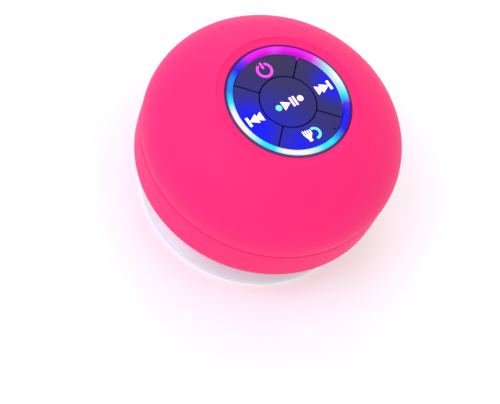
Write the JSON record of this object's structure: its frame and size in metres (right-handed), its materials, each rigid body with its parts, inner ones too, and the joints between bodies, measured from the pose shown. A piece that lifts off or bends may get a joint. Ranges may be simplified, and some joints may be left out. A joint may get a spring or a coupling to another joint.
{
  "type": "shower speaker",
  "caption": "Round waterproof shower speaker with a lit key panel on top and a twist-off suction cup underneath.",
  "frame": {"origin": "middle of the suction cup's rim, on the surface it stands on", "axes": "+Z out of the key panel, +X from the previous key to the next key, +Y from the call key to the power key"},
  "size_m": [0.086, 0.086, 0.056],
  "materials": {
    "soft_touch_pink": "soft-touch matte",
    "pink_rubber": "matte rubber",
    "black_rubber": "matte",
    "bezel_gloss": "polished",
    "key_gloss": "polished, smoked",
    "light_guide": "milky, lit from behind",
    "steel": "zinc plated",
    "socket_steel": "stamped",
    "black_plastic": "fine grain",
    "board_green": "solder mask",
    "chip_black": "moulded",
    "lamp_white": "clear lamp",
    "plug_white": "moulded nylon",
    "cell_foil": "foil pouch",
    "ferrite": "sintered",
    "cone_paper": "pressed pulp",
    "coil_copper": "enamelled wire",
    "spider_cloth": "treated cloth",
    "mesh_cloth": "woven mesh",
    "wire_sleeve": "smooth",
    "sticky_pad": "foam",
    "cup_silicone": "satin milky silicone",
    "hub_white": "moulded"
  },
  "bodies": {
    "housing": {"top_shell": "soft_touch_pink", "lower_shell": "soft_touch_pink", "seam_gasket": "black_rubber", "shell_screws": "steel", "screw_plugs": "pink_rubber", "grille_mesh": "mesh_cloth", "flap_anchor": "pink_rubber", "charge_socket": "socket_steel", "socket_tongue": "black_plastic", "charge_board": "board_green", "charge_chips": "chip_black", "charge_screws": "steel", "charge_leads": "wire_sleeve", "panel_bezel": "bezel_gloss", "light_ring": "light_guide", "key_membrane": "black_rubber", "switch_bodies": "black_plastic", "button_board": "board_green", "ring_leds": "lamp_white", "microphone": "socket_steel", "board_chips": "chip_black", "board_screws": "steel", "battery_tray": "black_plastic", "battery_cell": "cell_foil", "battery_pad": "sticky_pad", "battery_plug": "plug_white", "battery_leads": "wire_sleeve", "tray_screws": "steel", "speaker_gasket": "black_rubber", "speaker_frame": "black_plastic", "front_plate": "steel", "magnet": "ferrite", "yoke": "steel", "surround": "black_rubber", "spider": "spider_cloth", "speaker_terminals": "board_green", "speaker_screws": "steel", "speaker_leads": "wire_sleeve"},
    "next_key": {"next_key": "key_gloss", "next_plunger": "plug_white"},
    "power_key": {"power_key": "key_gloss", "power_plunger": "plug_white"},
    "previous_key": {"previous_key": "key_gloss", "previous_plunger": "plug_white"},
    "call_key": {"call_key": "key_gloss", "call_plunger": "plug_white"},
    "play_key": {"play_key": "key_gloss", "play_plunger": "plug_white"},
    "cone": {"cone": "cone_paper", "dust_cap": "cone_paper", "voice_coil": "coil_copper"},
    "port_flap": {"port_flap": "pink_rubber"},
    "suction_cup": {"cup_hub": "hub_white", "suction_cup": "cup_silicone", "cup_washer": "steel", "cup_screw": "steel"}
  },
  "joints": [
    {"name": "next_press", "type": "slide", "parent": "housing", "child": "next_key", "axis": [0, 0, -1], "range_m": [0, 0.00035], "stiffness_N_per_m": 4000},
    {"name": "power_press", "type": "slide", "parent": "housing", "child": "power_key", "axis": [0, 0, -1], "range_m": [0, 0.00035], "stiffness_N_per_m": 4000},
    {"name": "previous_press", "type": "slide", "parent": "housing", "child": "previous_key", "axis": [0, 0, -1], "range_m": [0, 0.00035], "stiffness_N_per_m": 4000},
    {"name": "call_press", "type": "slide", "parent": "housing", "child": "call_key", "axis": [0, 0, -1], "range_m": [0, 0.00035], "stiffness_N_per_m": 4000},
    {"name": "play_press", "type": "slide", "parent": "housing", "child": "play_key", "axis": [0, 0, -1], "range_m": [0, 0.00035], "stiffness_N_per_m": 4000},
    {"name": "cone_stroke", "type": "slide", "parent": "housing", "child": "cone", "axis": [0, 0, 1], "range_m": [-0.0008, 0.0008], "stiffness_N_per_m": 1200, "deforming": ["surround", "spider"]},
    {"name": "flap_hinge", "type": "hinge", "parent": "housing", "child": "port_flap", "pos_m": [0.04129, 0.007, 0.0228], "axis": [0, 0, 1], "range_deg": [0, 90]},
    {"name": "cup_twist", "type": "hinge", "parent": "housing", "child": "suction_cup", "pos_m": [0, 0, 0.0175], "axis": [0, 0, 1], "range_deg": [0, 50]}
  ]
}
